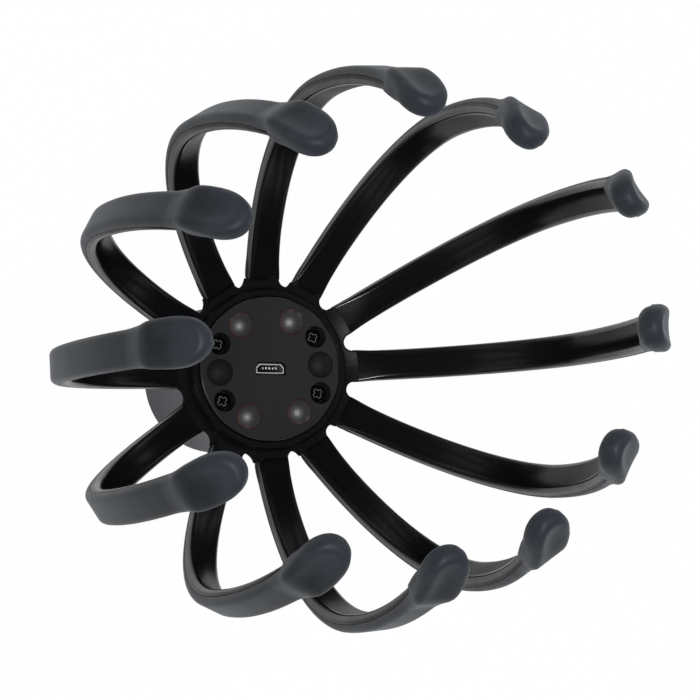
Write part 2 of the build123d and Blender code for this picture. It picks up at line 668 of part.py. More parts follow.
with BuildPart() as switch_body:
    with BuildSketch(Plane.XY.offset(SWITCH_Z)):
        Rectangle(SWITCH_SIDE, SWITCH_SIDE)
    extrude(amount=SWITCH_H)
    with BuildSketch(Plane.XY.offset(SWITCH_Z)):
        Circle(PLUNGER_R + PLUNGER_FIT)
    extrude(amount=PLUNGER_IN + BUTTON_TRAVEL + BUTTON_GAP, mode=Mode.SUBTRACT)
switch_body.part.label = "switch_body"

with BuildPart() as switch_board:
    with BuildSketch(Plane.XY.offset(SWITCH_BOARD_Z)):
        Circle(SWITCH_BOARD_R)
        with PolarLocations(STAKE_RING_R, 3):
            Circle(STAKE_PIN_R + THREAD_FIT, mode=Mode.SUBTRACT)
    extrude(amount=SWITCH_BOARD_THICK)
switch_board.part.label = "switch_board"

# --- chassis ------------------------------------------------------------------------
LIP_Y = BATTERY_W / 2 + BATTERY_PLAY
LEG_X = MOTOR_X + SLEEVE_R
with BuildPart() as chassis:
    with BuildSketch(Plane.XY.offset(BASE_Z)):
        Circle(GRIP_INNER_R - BASE_FIT)
        with PolarLocations(STAKE_RING_R, 3):
            Circle(STAKE_PIN_R + BASE_FIT, mode=Mode.SUBTRACT)
        with Locations((0, SWITCH_LEAD_Y)):
            SlotCenterToCenter(2 * SWITCH_LEAD_X, 2 * (LEAD_R + BASE_FIT), mode=Mode.SUBTRACT)
    extrude(amount=BASE_THICK)
    with BuildSketch(Plane.XY.offset(BASE_TOP)):
        with Locations((WALL_X + WALL_THICK / 2, 0)):
            Rectangle(WALL_THICK, 2 * (LIP_Y + WALL_THICK))
    extrude(amount=WALL_H)
    with BuildSketch(Plane.XY.offset(BASE_TOP)):
        with Locations((WALL_X - BATTERY_L / 2, LIP_Y + WALL_THICK / 2),
                       (WALL_X - BATTERY_L / 2, -LIP_Y - WALL_THICK / 2)):
            Rectangle(BATTERY_L, WALL_THICK)
    extrude(amount=LIP_HIGH)
    with BuildSketch(Plane.XY.offset(CRADLE_Z)):
        with Locations((MOTOR_X, 0)):
            Circle(CRADLE_R)
        with Locations(((WALL_X + WALL_THICK + MOTOR_X) / 2, 0)):
            Rectangle(MOTOR_X - WALL_X - WALL_THICK, CRADLE_WEB_W)
        with Locations((MOTOR_X, 0)):
            Circle(SLEEVE_R, mode=Mode.SUBTRACT)
    extrude(amount=SLEEVE_H)
    with BuildSketch(Plane.XY.offset(BASE_TOP)):
        with Locations((LEG_X + CRADLE_WALL / 2, 0)):
            Rectangle(CRADLE_WALL, LEG_W)
    extrude(amount=CRADLE_Z - BASE_TOP)
chassis.part.label = "chassis"

# --- battery and its foam -----------------------------------------------------------
with BuildPart() as battery_foam:
    with BuildSketch(Plane.XY.offset(BASE_TOP)):
        with Locations((BATTERY_X, 0)):
            Rectangle(BATTERY_L, BATTERY_W)
    extrude(amount=FOAM_THICK)
battery_foam.part.label = "battery_foam"

with BuildPart() as battery_cell:
    with BuildSketch(Plane.XY.offset(BATTERY_Z)):
        with Locations((BATTERY_X, 0)):
            RectangleRounded(BATTERY_L, BATTERY_W, BATTERY_ROUND)
    extrude(amount=BATTERY_H)
battery_cell.part.label = "battery_cell"

# --- vibration motor ----------------------------------------------------------------
with BuildPart() as motor_can:
    with BuildSketch(Plane.XY.offset(MOTOR_Z)):
        with Locations((MOTOR_X, 0)):
            Circle(MOTOR_R)
    extrude(amount=MOTOR_H)
    with BuildSketch(Plane.XY.offset(MOTOR_Z)):
        with Locations((MOTOR_X, 0)):
            Circle(SHAFT_R + SHAFT_FIT)
    extrude(amount=SHAFT_IN + BASE_FIT, mode=Mode.SUBTRACT)
motor_can.part.label = "motor_can"

with BuildPart() as motor_end:
    with BuildSketch(Plane.XY.offset(MOTOR_TOP)):
        with Locations((MOTOR_X, 0)):
            Circle(MOTOR_END_R)
    extrude(amount=MOTOR_END_H)
motor_end.part.label = "motor_end"

with BuildPart() as motor_sleeve:
    with BuildSketch(Plane.XY.offset(CRADLE_Z)):
        with Locations((MOTOR_X, 0)):
            Circle(SLEEVE_R)
            Circle(MOTOR_R, mode=Mode.SUBTRACT)
    extrude(amount=SLEEVE_H)
motor_sleeve.part.label = "motor_sleeve"

with BuildPart() as motor_shaft:
    with BuildSketch(Plane.XY.offset(MOTOR_Z - SHAFT_OUT)):
        with Locations((MOTOR_X, 0)):
            Circle(SHAFT_R)
    extrude(amount=SHAFT_OUT + SHAFT_IN)
motor_shaft.part.label = "motor_shaft"

with BuildPart() as eccentric_weight:
    with BuildSketch(Plane.XY.offset(MOTOR_Z - SHAFT_OUT)):
        with Locations((MOTOR_X, 0)):
            Circle(WEIGHT_R)
        with Locations((MOTOR_X, -WEIGHT_R)):
            Rectangle(2 * WEIGHT_R, 2 * WEIGHT_R, mode=Mode.SUBTRACT)
        with Locations((MOTOR_X, 0)):
            Circle(WEIGHT_HUB_R)
            Circle(SHAFT_R, mode=Mode.SUBTRACT)
    extrude(amount=WEIGHT_H)
eccentric_weight.part.label = "eccentric_weight"


# --- leads inside the grip ----------------------------------------------------------
def lead(*points):
    """Insulated lead of round section along straight runs joined by arcs."""
    with BuildPart() as wire:
        with BuildLine() as route:
            FilletPolyline(*points, radius=LEAD_BEND)
        with BuildSketch(Plane(origin=points[0], z_dir=(0, 0, 1))):
            Circle(LEAD_R)
        sweep(path=route.line)
    return wire.part


LEAD_RISE = GRIP_PLATE_Z + LEAD_BEND
MOTOR_END_TOP = MOTOR_TOP + MOTOR_END_H
SWITCH_LEAD_Z = SWITCH_BOARD_Z + SWITCH_BOARD_THICK
BATTERY_LANDING = BATTERY_X + BATTERY_LEAD_RUN
MOTOR_LANDING = MOTOR_X - MOTOR_LEAD_RUN


def battery_lead(y):
    return lead((BATTERY_X, y, BATTERY_TOP), (BATTERY_X, y, BATTERY_TOP + LEAD_BEND),
                (BATTERY_LANDING, y, LEAD_RISE), (BATTERY_LANDING, y, FLOOR_Z))


def motor_lead(y):
    return lead((MOTOR_X, y, MOTOR_END_TOP), (MOTOR_X, y, MOTOR_END_TOP + LEAD_BEND),
                (MOTOR_LANDING, y, LEAD_RISE), (MOTOR_LANDING, y, FLOOR_Z))


def switch_lead(x):
    return lead((x, SWITCH_LEAD_Y, SWITCH_LEAD_Z), (x, SWITCH_LEAD_Y, MOTOR_TOP),
                (x, SWITCH_LANDING, LEAD_RISE), (x, SWITCH_LANDING, FLOOR_Z))


# --- write every piece --------------------------------------------------------------
os.makedirs("parts", exist_ok=True)

for piece in (claw_ring, hub_cover, cover_screws, hub_board, lamp_leds, charger_chip,
              port_shell, port_tongue,
              grip_shell, end_cap, power_button, button_seal, switch_plunger, switch_body,
              switch_board, chassis, battery_foam, battery_cell, motor_can, motor_end,
              motor_sleeve, motor_shaft, eccentric_weight):
    export_step(piece.part, f"parts/{piece.part.label}.step")


def write(part, label):
    part.label = label
    export_step(part, f"parts/{label}.step")


for k in range(CLAW_COUNT):
    write(claw_core(k), f"claw_core_{k + 1:02d}")
    write(claw_skin(k), f"claw_skin_{k + 1:02d}")
for k, azimuth in enumerate(LAMP_AZ, start=1):
    write(dome(azimuth, pocket=True), f"lamp_lens_{k}")
for k, azimuth in enumerate(STUD_AZ, start=1):
    write(dome(azimuth, pocket=False), f"rubber_stud_{k}")
for name, place in (("a", 1), ("b", -1)):
    write(battery_lead(place * BATTERY_LEAD_Y), f"battery_lead_{name}")
    write(motor_lead(place * MOTOR_LEAD_Y), f"motor_lead_{name}")
    write(switch_lead(place * SWITCH_LEAD_X), f"switch_lead_{name}")
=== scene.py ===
# %% [markdown]
# # Electric scalp massager: the looks
# The CAD model holds the pieces at their real size. This lesson dresses them: it gives
# each surface its finish, builds the finer pieces that are only looked at, and sets up
# a floor, two lamps and a camera. Blender works in metres here, as the CAD frame does.

# %% Load the frame
import bmesh
import bpy
import math
from mathutils import Matrix, Vector


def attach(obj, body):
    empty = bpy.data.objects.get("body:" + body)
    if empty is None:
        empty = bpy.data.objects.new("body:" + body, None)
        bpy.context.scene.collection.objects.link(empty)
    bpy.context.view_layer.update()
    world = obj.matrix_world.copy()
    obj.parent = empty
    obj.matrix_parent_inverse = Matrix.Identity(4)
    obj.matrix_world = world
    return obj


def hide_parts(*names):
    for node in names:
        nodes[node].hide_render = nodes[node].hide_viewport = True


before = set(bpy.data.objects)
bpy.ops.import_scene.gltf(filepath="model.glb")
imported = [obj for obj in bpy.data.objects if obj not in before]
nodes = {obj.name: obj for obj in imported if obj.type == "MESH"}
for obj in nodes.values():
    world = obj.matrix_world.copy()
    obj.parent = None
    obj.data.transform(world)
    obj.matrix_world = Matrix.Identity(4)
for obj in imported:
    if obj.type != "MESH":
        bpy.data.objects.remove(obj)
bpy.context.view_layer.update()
MM = 0.001

# %% [markdown]
# ## Shader sums that read like sums
# A finish is a small network of shader nodes. Wired by hand it soon becomes unreadable,
# so one class wraps a socket and lets Python's operators add the Math nodes, and one
# method makes every other node from its settings and its inputs.

# %% A socket that can be added and multiplied
class Wire:
    """One output socket of a shader tree."""

    def __init__(self, finish, socket):
        self.finish = finish
        self.socket = socket

    def math(self, operation, first, second):
        return self.finish.node("ShaderNodeMath", {"operation": operation},
                                {0: first, 1: second})

    def __add__(self, other):
        return self.math("ADD", self, other)

    def __abs__(self):
        return self.math("ABSOLUTE", self, 0.0)

    def __radd__(self, other):
        return self.math("ADD", other, self)

    def __sub__(self, other):
        return self.math("SUBTRACT", self, other)

    def __rsub__(self, other):
        return self.math("SUBTRACT", other, self)

    def __mul__(self, other):
        return self.math("MULTIPLY", self, other)

    def __rmul__(self, other):
        return self.math("MULTIPLY", other, self)

    def __pow__(self, other):
        return self.math("POWER", self, other)

    def at_most(self, other):
        return self.math("MINIMUM", self, other)

    def beside(self, output):
        """Another output of the node that this one belongs to."""
        return Wire(self.finish, self.socket.node.outputs[output])


print("a wire can do", [name.strip("_") for name, what in vars(Wire).items() if callable(what)])

# %% [markdown]
# ## One method for every node
# Blender gives each new material one shader, and a finish starts from it. The node method
# makes any other node: its settings come first, because some of them change which sockets
# the node has, and then each socket gets a number, a colour or a wire. The patterns that
# many finishes share are short methods on top of it. They read the place of a point on
# the object, so no surface has to be unwrapped, and they travel with a piece that moves.

# %% A finish under construction
class Finish:
    """A shader tree with one method that adds any node."""

    def __init__(self, owner):
        owner.use_nodes = True
        self.owner = owner
        self.tree = owner.node_tree

    def node(self, kind, settings=None, values=None, out=0):
        made = self.tree.nodes.new(kind)
        for name, value in (settings or {}).items():
            if name == "stops":
                for stop in value[2:]:
                    made.color_ramp.elements.new(stop[0])
                for element, (place, colour) in zip(made.color_ramp.elements, value):
                    element.position = place
                    element.color = (*colour, 1)
            else:
                setattr(made, name, value)
        for name, value in (values or {}).items():
            self.plug(made.inputs[name], value)
        return Wire(self, made.outputs[out])

    def plug(self, socket, value):
        if isinstance(value, Wire):
            self.tree.links.new(value.socket, socket)
        elif isinstance(value, tuple) and len(value) == 3 and socket.type == "RGBA":
            socket.default_value = (*value, 1)
        else:
            socket.default_value = value

    def surface(self, **values):
        shader = self.tree.nodes["Principled BSDF"]
        for name, value in values.items():
            self.plug(shader.inputs[name.replace("_", " ")], value)

    def place(self):
        """Where a point lies on the object, in metres."""
        return self.node("ShaderNodeTexCoord", out=3)

    def height(self):
        """How high a point lies, in metres."""
        return self.node("ShaderNodeSeparateXYZ", None, {0: self.place()}, out=2)

    def grain(self, size, detail=3.0, stretch=(1, 1, 1)):
        """Cloudy noise from 0 to 1 whose lumps are about size metres wide."""
        spot = self.node("ShaderNodeMapping", None, {"Vector": self.place(), "Scale": stretch})
        return self.node("ShaderNodeTexNoise", None,
                         {"Vector": spot, "Scale": 1 / size, "Detail": detail})

    def blend(self, factor, dark, light):
        """Colour between dark and light."""
        return self.node("ShaderNodeMix", {"data_type": "RGBA"},
                         {"Factor": factor, 6: dark, 7: light}, out=2)

    def band(self, value, low, high):
        """0 below low, 1 above high and smooth between them."""
        return self.node("ShaderNodeMapRange", {"interpolation_type": "SMOOTHSTEP"},
                         {"Value": value, "From Min": low, "From Max": high})

    def bump(self, height, depth, strength=1.0):
        """Small relief, depth metres from the lowest to the highest point."""
        self.surface(Normal=self.node("ShaderNodeBump", None,
                                      {"Height": height, "Distance": depth, "Strength": strength}))


def finish(name):
    return Finish(bpy.data.materials.new(name))


print("a finish can make", [name for name in vars(Finish) if not name.startswith("_")])

# %% [markdown]
# ## Glossy black plastic
# The hard half of each claw and the ring between them are one polished moulding. Its
# shine is a thin clear layer over dead black, so the coat carries all the reflections and
# the plastic under it carries none. A broad, faint waviness bends them, because no real
# moulding is quite flat. The coat has a weight at the root, on the bend and at the end of
# a claw, and is the same all round the ring. Low in the gaps between the roots it is
# weakened, which paints shade there, and the ring's black is painted a little paler than
# the claws', a painted reflection. The sides and the rounded edges shine more than the
# flat face between them, so they get finishes of their own from one function.

# %% Glossy black plastic
GAP_LOW, GAP_HIGH = 53.4 * MM, 54.4 * MM        # the gaps between the roots end here
GAP_SHADE_SHARE = 0.25                                 # share of the coat that is left down there
BEND_LOW, BEND_HIGH = 58 * MM, 68 * MM          # the weight on the bend takes over here
END_LOW, END_HIGH = 104 * MM, 128 * MM          # and the weight at the end here
DUST = (0.04, 0.04, 0.042)


def glossy_plastic(name, at_root, at_bend, at_end, black=(0.0048, 0.0049, 0.0056)):
    """Black plastic under a coat whose weight is given for three heights."""
    made = finish(name)
    waves = made.grain(11 * MM, 2.0)
    smears = made.grain(5 * MM, 5.0)
    specks = made.band(made.grain(0.35 * MM, 1.0), 0.71, 0.76)
    height = made.height()
    risen = made.band(height, BEND_LOW, BEND_HIGH)
    ending = made.band(height, END_LOW, END_HIGH)
    # Low in the gaps the coat is weakened, which paints shade between the roots.
    gap_shade_coat = at_root * (GAP_SHADE_SHARE + (1 - GAP_SHADE_SHARE) * made.band(height, GAP_LOW, GAP_HIGH))
    coat = (gap_shade_coat + risen * (at_bend - gap_shade_coat)) * (1 - ending) + ending * at_end
    made.surface(Base_Color=made.blend(specks * 0.5, black, DUST),
                 Roughness=0.40 + smears * 0.2,
                 Specular_IOR_Level=0.0,
                 Coat_Weight=coat * (0.8 + smears * 0.4), Coat_Roughness=0.20)
    made.bump(waves, 0.05 * MM, 0.35)
    return made.owner


GLOSSY = glossy_plastic("glossy black plastic", 0.02, 0.30, 0.17)
# The ring is the same plastic as the claws, but its black is painted paler: a painted reflection
# in place of shine, with its coat kept low.
PALER_RING = glossy_plastic("glossy black ring, painted paler", 0.05, 0.05, 0.05, (0.0070, 0.0071, 0.0080))
SIDE = glossy_plastic("glossy black side", 0.26, 0.42, 0.28)
EDGE = glossy_plastic("polished black edge", 0.90, 0.60, 0.50)
print("made", [m.name for m in (GLOSSY, PALER_RING, SIDE, EDGE)])

# %% [markdown]
# ## Soft-touch skin
# The outer half of each claw is a soft rubbery skin that feels like peach. It scatters
# light widely, and at a glancing angle its fine nap looks paler and a little blue, which
# is what the sheen layer is for. A fine grain keeps it from looking like smooth clay, and
# the tips of the paddles, the highest parts, are painted paler: a painted highlight.

# %% Soft-touch skin
# Painted highlight: between these heights the tips of the paddles are painted paler.
HIGHLIT_TIPS_FROM, HIGHLIT_TIPS_TO = 165 * MM, 174 * MM          # the tips turn paler between these heights
HIGHLIT_TIPS_RAGGED = 6 * MM                             # and noise moves that border by this


def soft_skin():
    made = finish("soft-touch skin")
    cloud = made.band(made.grain(6 * MM, 5.0), 0.35, 0.65)
    nap = made.grain(0.22 * MM, 2.0)
    # The paler tips are a painted highlight, not a change in the skin.
    tip_highlight = made.band(made.height() + made.grain(4 * MM) * HIGHLIT_TIPS_RAGGED, HIGHLIT_TIPS_FROM, HIGHLIT_TIPS_TO)
    skin = made.blend(cloud, (0.0046, 0.0054, 0.0070), (0.0068, 0.0080, 0.0103))
    made.surface(Base_Color=made.blend(tip_highlight, skin, (0.0240, 0.0283, 0.0352)),
                 Roughness=0.50 + cloud * 0.04,
                 Specular_IOR_Level=0.17,
                 Sheen_Weight=0.06, Sheen_Roughness=0.45, Sheen_Tint=(0.72, 0.85, 1.0))
    made.bump(nap, 0.02 * MM, 0.30)
    return made.owner


SOFT = soft_skin()
print("made", SOFT.name)

# %% [markdown]
# ## Matt moulded plastic
# The hub cover has the even, fine grain that spark erosion leaves on a mould, and the
# grip has a coarser one that helps the hand. Both come from the same function, with the
# size of the grain, its depth and the colour as its arguments.

# %% Matt moulded plastic
COVER_RIM = 18.72 * MM      # radius where the hub cover's edge begins to shine
RIM_BLEND = 0.12 * MM
LINE_X = -0.35 * MM         # a faint line runs along here on the cover


def cover_line(made, x, y):
    """1 on the faint line that the mould leaves beside the port, 0 elsewhere."""
    line = 1 - made.band(abs(x - LINE_X), 0.05 * MM, 0.22 * MM)
    return line * made.band(y, 1 * MM, 3 * MM) * (1 - made.band(y, 9 * MM, 12 * MM))


def moulded_plastic(name, dark, light, grain_size, grain_depth, dullness, rim=None):
    """Grained plastic. A cover has a rim, and beyond that radius its edge shines."""
    made = finish(name)
    grain = made.grain(grain_size, 2.5)
    cloud = made.grain(14 * MM, 3.0)
    pits = made.band(grain, 0.36, 0.62)
    shade = pits * 0.7 + cloud * 0.3
    if rim:
        x = made.node("ShaderNodeSeparateXYZ", None, {0: made.place()})
        y = x.beside("Y")
        radius = (x * x + y * y) ** 0.5
        shade = shade * (1 - cover_line(made, x, y))
        made.surface(Coat_Weight=made.band(radius, rim, rim + RIM_BLEND), Coat_Roughness=0.22)
    made.surface(Base_Color=made.blend(shade, dark, light),
                 Roughness=dullness + cloud * 0.10 - pits * 0.06,
                 Specular_IOR_Level=0.16)
    made.bump(grain, grain_depth, 0.6)
    return made.owner


COVER = moulded_plastic("matt hub plastic", (0.0125, 0.0126, 0.0140), (0.0190, 0.0191, 0.0210),
                        0.16 * MM, 0.02 * MM, 0.58, COVER_RIM)
GRIP = moulded_plastic("grained grip plastic", (0.028, 0.0305, 0.036), (0.057, 0.062, 0.073),
                       0.34 * MM, 0.05 * MM, 0.55)
BUTTON = moulded_plastic("satin button plastic", (0.020, 0.021, 0.024), (0.030, 0.031, 0.035),
                         0.22 * MM, 0.02 * MM, 0.38)
INNER = moulded_plastic("plain inner plastic", (0.06, 0.06, 0.065), (0.09, 0.09, 0.095),
                        0.5 * MM, 0.02 * MM, 0.45)
INSULATOR = moulded_plastic("black insulator", (0.012, 0.012, 0.012), (0.022, 0.022, 0.022),
                            0.2 * MM, 0.01 * MM, 0.42)
PALE = moulded_plastic("pale insulator", (0.60, 0.60, 0.57), (0.72, 0.72, 0.69),
                       0.4 * MM, 0.01 * MM, 0.40)
print("made", [m.name for m in (COVER, GRIP, BUTTON, INNER, INSULATOR, PALE)])

# %% [markdown]
# ## Lamp lenses and rubber studs
# A lens is dark red plastic, so deep that it looks black where it is thick and shows its
# red only round the thin rim. Height on the dome stands in for thickness here. The two
# studs have the same shape in plain rubber.

# %% Lamp lenses and rubber studs
LENS_THIN, LENS_THICK = 56 * MM, 57 * MM        # the red fades between these heights


def lens_plastic():
    made = finish("smoked red lens")
    crown = made.band(made.height(), LENS_THIN, LENS_THICK)
    made.surface(Base_Color=made.blend(crown, (0.050, 0.0075, 0.006), (0.0105, 0.0100, 0.0100)),
                 Roughness=0.50 + made.grain(2 * MM) * 0.08,
                 Specular_IOR_Level=1.0,
                 Coat_Weight=1.0, Coat_Roughness=0.48)
    made.bump(made.grain(1.5 * MM), 0.02 * MM, 0.3)
    return made.owner


def stud_rubber():
    made = finish("matt stud rubber")
    bloom = made.grain(1.2 * MM, 5.0)
    made.surface(Base_Color=made.blend(bloom, (0.0060, 0.0063, 0.0070), (0.0120, 0.0124, 0.0134)),
                 Roughness=0.50 + bloom * 0.2,
                 Specular_IOR_Level=0.16)
    made.bump(made.grain(0.18 * MM), 0.02 * MM, 0.5)
    return made.owner


LENS = lens_plastic()
RUBBER = stud_rubber()
print("made", LENS.name, "and", RUBBER.name)

# %% [markdown]
# ## Metals
# The port's shell is plated and bright, the screws are darker. Drawn and turned metal
# shows fine lines, so the noise is stretched along one axis before it sets the roughness.

# %% Metals
def worked_metal(name, colour, shine, stretch=(1, 1, 1)):
    made = finish(name)
    lines = made.grain(0.25 * MM, 4.0, stretch)
    stains = made.grain(2.5 * MM, 3.0)
    dark = tuple(c * 0.78 for c in colour)
    made.surface(Base_Color=made.blend(stains, dark, colour), Metallic=1.0,
                 Roughness=shine + lines * 0.16)
    made.bump(lines, 0.01 * MM, 0.4)
    return made.owner


PLATED = worked_metal("plated port steel", (0.93, 0.93, 0.94), 0.38, (1, 1, 0.15))
BLACKED = worked_metal("blackened screw steel", (0.006, 0.006, 0.0065), 0.45)
# A paler steel for the edge round each screw's recess.
SCREW = worked_metal("pale turned steel", (0.42, 0.42, 0.43), 0.36)
CAN = worked_metal("drawn can steel", (0.60, 0.60, 0.60), 0.22, (1, 1, 0.05))
FOIL = worked_metal("laminated cell foil", (0.66, 0.67, 0.70), 0.30)
print("made", [m.name for m in (PLATED, BLACKED, SCREW, CAN, FOIL)])

# %% [markdown]
# ## Boards, chips, leads and foam
# These sit inside the grip and the hub. They are out of sight, but someone may open the
# model, so each has the few marks that make it readable: copper tracks under the green
# lacquer, the open cells of the foam, the even colour of a lead's insulation.

# %% Boards, chips, leads and foam
TRACKS_PER_METRE = 180
FOAM_CELL = 0.7 * MM


def circuit_board():
    made = finish("green circuit board")
    tracks = made.node("ShaderNodeTexBrick", None,
                       {"Vector": made.place(), "Scale": TRACKS_PER_METRE,
                        "Mortar Size": 0.06}, out=1)
    cloud = made.grain(3 * MM)
    made.surface(Base_Color=made.blend(tracks, (0.003, 0.030, 0.011), (0.010, 0.070, 0.026)),
                 Roughness=0.28 + cloud * 0.12)
    made.bump(tracks, 0.03 * MM, 0.4)
    return made.owner


def open_foam():
    made = finish("grey foam")
    cells = made.node("ShaderNodeTexVoronoi", None,
                      {"Vector": made.place(), "Scale": 1 / FOAM_CELL})
    made.surface(Base_Color=made.blend(cells, (0.06, 0.06, 0.065), (0.22, 0.22, 0.23)),
                 Roughness=0.9)
    made.bump(cells, 0.2 * MM, 0.7)
    return made.owner


def lead_insulation(name, dark, light):
    made = finish(name)
    cloud = made.grain(2 * MM)
    made.surface(Base_Color=made.blend(cloud, dark, light), Roughness=0.34 + cloud * 0.12)
    made.bump(made.grain(0.3 * MM), 0.01 * MM, 0.4)
    return made.owner


BOARD = circuit_board()
FOAM = open_foam()
RED_LEAD = lead_insulation("red lead", (0.30, 0.010, 0.008), (0.46, 0.020, 0.015))
BLACK_LEAD = lead_insulation("black lead", (0.008, 0.008, 0.008), (0.018, 0.018, 0.018))
CLEAR_LED = lead_insulation("clear red lamp", (0.38, 0.05, 0.04), (0.60, 0.12, 0.09))
SILICONE = lead_insulation("grey silicone", (0.20, 0.20, 0.21), (0.30, 0.30, 0.31))
print("made", [m.name for m in (BOARD, FOAM, RED_LEAD, BLACK_LEAD, CLEAR_LED, SILICONE)])

# %% [markdown]
# ## Dress the CAD pieces
# A CAD piece whose shape is right stays as it is, and only its material slot changes.
# One table from the start of a node's name to its finish covers all of them.

# %% Dress the CAD pieces
FINISHES = {
    "claw_core": GLOSSY, "claw_ring": PALER_RING, "claw_skin": SOFT, "hub_cover": COVER,
    "lamp_lens": LENS, "rubber_stud": RUBBER, "cover_screws": BLACKED, "port_shell": PLATED,
    "port_tongue": INSULATOR, "hub_board": BOARD, "switch_board": BOARD, "lamp_leds": CLEAR_LED,
    "charger_chip": INSULATOR, "grip_shell": GRIP, "end_cap": GRIP, "power_button": BUTTON,
    "button_seal": SILICONE, "switch_plunger": INSULATOR, "switch_body": CAN, "chassis": INNER,
    "battery_foam": FOAM, "battery_cell": FOIL, "motor_can": CAN, "motor_end": PALE,
    "motor_sleeve": RUBBER, "motor_shaft": PLATED, "eccentric_weight": SCREW,
}


def finish_for(name):
    if name.endswith("_lead_a"):
        return RED_LEAD
    if name.endswith("_lead_b"):
        return BLACK_LEAD
    return next(look for start, look in FINISHES.items() if name.startswith(start))


for name, node in nodes.items():
    node.data.materials.clear()
    node.data.materials.append(finish_for(name))
print("dressed", len(nodes), "CAD pieces")

# %% [markdown]
# ## The path of a claw
# A claw is the part that one looks at longest, and its spoon-shaped paddle grows out of
# it without an edge, which a solid modeller finds hard. Here each half is a surface
# stretched along the claw's centre line. The centre line is the same chain of arcs that
# the CAD model uses, so the two agree, and it is walked piece by piece from the root.

# %% The path of a claw
CLAWS = 12
CLAW_STEP = 360 / CLAWS     # degrees from one claw to the next
WEB_RADIUS = 24.8           # the claws leave the ring here, millimetres
ROOT_REACH = 20.0
ROOT_HEIGHT = 50.0
ROOT_RISE = 19.7            # slope of the root, degrees
ROOT_HALF = 2.80            # half thickness of the root
END_HALF = 2.10             # and of the last stretches
# Length, turn in degrees and half thickness at the far end of each stretch.
STRETCHES = [
    (3.8, 0.0, ROOT_HALF), (59.3 * math.radians(36.4), 36.4, 2.50),
    (63.2 * math.radians(35.2), 35.2, 2.15), (145.0 * math.radians(19.1), 19.1, END_HALF),
    (3.3, 6.3, END_HALF), (4.2, 6.4, END_HALF), (5.8, 8.8, END_HALF), (5.0, 0.0, END_HALF),
]
CLAW_END = sum(length for length, _, _ in STRETCHES[:-2])
# Soft claws take a set in use: degrees that each leans out, turns and tilts sideways.
CLAW_SET = [
    (1.0, -1.0, -0.25), (3.0, 0.3, -0.2), (-0.5, 0.8, -0.15), (-0.35, 1.25, 0.75),
    (-1.3, 0, 0), (-0.55, 0, 0), (0.75, 0, 0), (1.3, 0, 0),
    (0.25, 0.9, 0.2), (-1.15, 1.5, 0.35), (-1.2, 0.7, 0.6), (-0.8, -1.1, 0.8),
]


def along_claw(lean, ahead):
    """Reach, height, slope and half thickness of the centre line, ahead of the claw's end."""
    left = CLAW_END + ahead
    reach, height, half = ROOT_REACH, ROOT_HEIGHT, ROOT_HALF
    slope = math.radians(ROOT_RISE - lean)
    for length, turn, far_half in STRETCHES:
        share = min(left / length, 1.0)
        bend = math.radians(turn) * share
        middle = slope + bend / 2
        chord = length * share
        if bend:
            chord *= math.sin(bend / 2) / (bend / 2)
        reach += chord * math.cos(middle)
        height += chord * math.sin(middle)
        slope += bend
        half += (far_half - half) * share
        left -= length * share
        if left <= 0:
            break
    return reach, height, slope, half


print("claw length to its end:", round(CLAW_END, 1), "mm")

# %% [markdown]
# ## The place of a point on a claw
# A claw has three directions of its own: outwards, upwards and across. A point is given
# by how far along the claw it lies, how far across, and how far to the inner side, and
# two short functions turn that into a place in the scene.

# %% The place of a point on a claw
def claw_axes(number):
    """Root point and the directions of reach, height and width of one claw."""
    _, turn, tilt = CLAW_SET[number]
    azimuth = math.radians(CLAW_STEP * number)
    toward, over = math.radians(CLAW_STEP * number + turn), math.radians(tilt)
    reach_way = Vector((math.cos(toward), math.sin(toward), 0))
    width_way = Vector((math.sin(toward) * math.cos(over), -math.cos(toward) * math.cos(over),
                        -math.sin(over)))
    root = Vector((WEB_RADIUS * math.cos(azimuth), WEB_RADIUS * math.sin(azimuth), ROOT_HEIGHT))
    return root, reach_way, width_way.cross(reach_way), width_way


def claw_place(number, ahead, across, inward):
    """Point in metres at a place along, across and to the inner side of a claw."""
    root, reach_way, height_way, width_way = claw_axes(number)
    reach, height, slope, _ = along_claw(CLAW_SET[number][0], ahead)
    reach -= inward * math.sin(slope)
    height += inward * math.cos(slope)
    spot = root + reach_way * (reach - WEB_RADIUS) + height_way * (height - ROOT_HEIGHT)
    return (spot + width_way * across) * MM


print("end of the first claw in mm:", [round(v / MM, 1) for v in claw_place(0, 0, 0, 0)])

# %% [markdown]
# ## From mesh work to a piece
# Mesh work is only numbers until it is written to a mesh and hung on an object. Every new
# piece goes through the same function, which also says which body it moves with and which
# CAD piece it stands for.

# %% From mesh work to a piece
def placed(name, data):
    """New object in the scene."""
    thing = bpy.data.objects.new(name, data)
    bpy.context.scene.collection.objects.link(thing)
    return thing


def finished(shape, name, look, slot_name, body, *cad_nodes):
    """Turns mesh work into an object that rides on a body and may replace CAD nodes."""
    mesh = bpy.data.meshes.new(name)
    shape.to_mesh(mesh)
    shape.free()
    mesh.materials.append(look)
    piece = placed(name, mesh)
    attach(piece, body)
    if cad_nodes:
        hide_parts(*cad_nodes)
    return piece


# %% [markdown]
# ## Rolling a sheet into a tube
# Both halves of a claw are made alike. A flat grid is created, and every vertex is sent
# to its place: its row says how far along the claw it lies, its column where on the
# outline. The two long edges meet and are welded, and the open ends are filled.

# %% Rolling a sheet into a tube
WELD = 1e-7                 # vertices closer than this, in metres, become one


